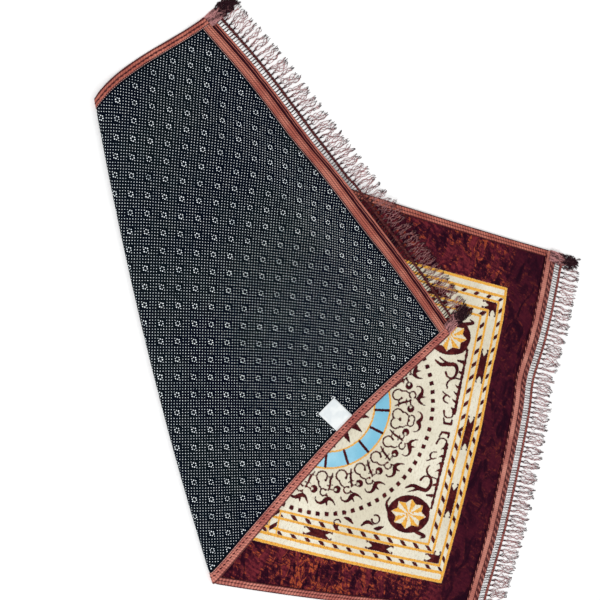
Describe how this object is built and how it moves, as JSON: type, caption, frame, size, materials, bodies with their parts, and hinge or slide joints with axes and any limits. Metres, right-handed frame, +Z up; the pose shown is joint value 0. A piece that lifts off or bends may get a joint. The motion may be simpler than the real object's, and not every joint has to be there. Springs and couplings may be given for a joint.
{
  "type": "folded prayer rug",
  "caption": "Plush prayer rug with ribbed edge bindings and fringed ends, lying on the floor and folded over itself on a slant, backing side up.",
  "frame": {"origin": "middle of the laid rug's box, on the floor", "axes": "+Z up from the floor; +X along the lower layer's length towards its fringed end; +Y across the lower layer towards the side that the folded corner passes over"},
  "size_m": [0.961, 0.969, 0.0154],
  "materials": {
    "backing_felt": "matt felt with small raised grip dots",
    "plush_pile": "soft long pile with a slight sheen",
    "ribbed_binding": "matt ribbed knit",
    "fringe_yarn": "soft twisted yarn",
    "label_cloth": "smooth woven tape"
  },
  "bodies": {
    "root": {"backing": "backing_felt", "pile_cloth": "plush_pile", "side_binding_top": "ribbed_binding", "side_binding_bottom": "ribbed_binding", "end_binding_a": "ribbed_binding", "end_binding_b": "ribbed_binding", "fringe_trim_a": "fringe_yarn", "fringe_trim_b": "fringe_yarn", "label": "label_cloth"}
  },
  "joints": []
}
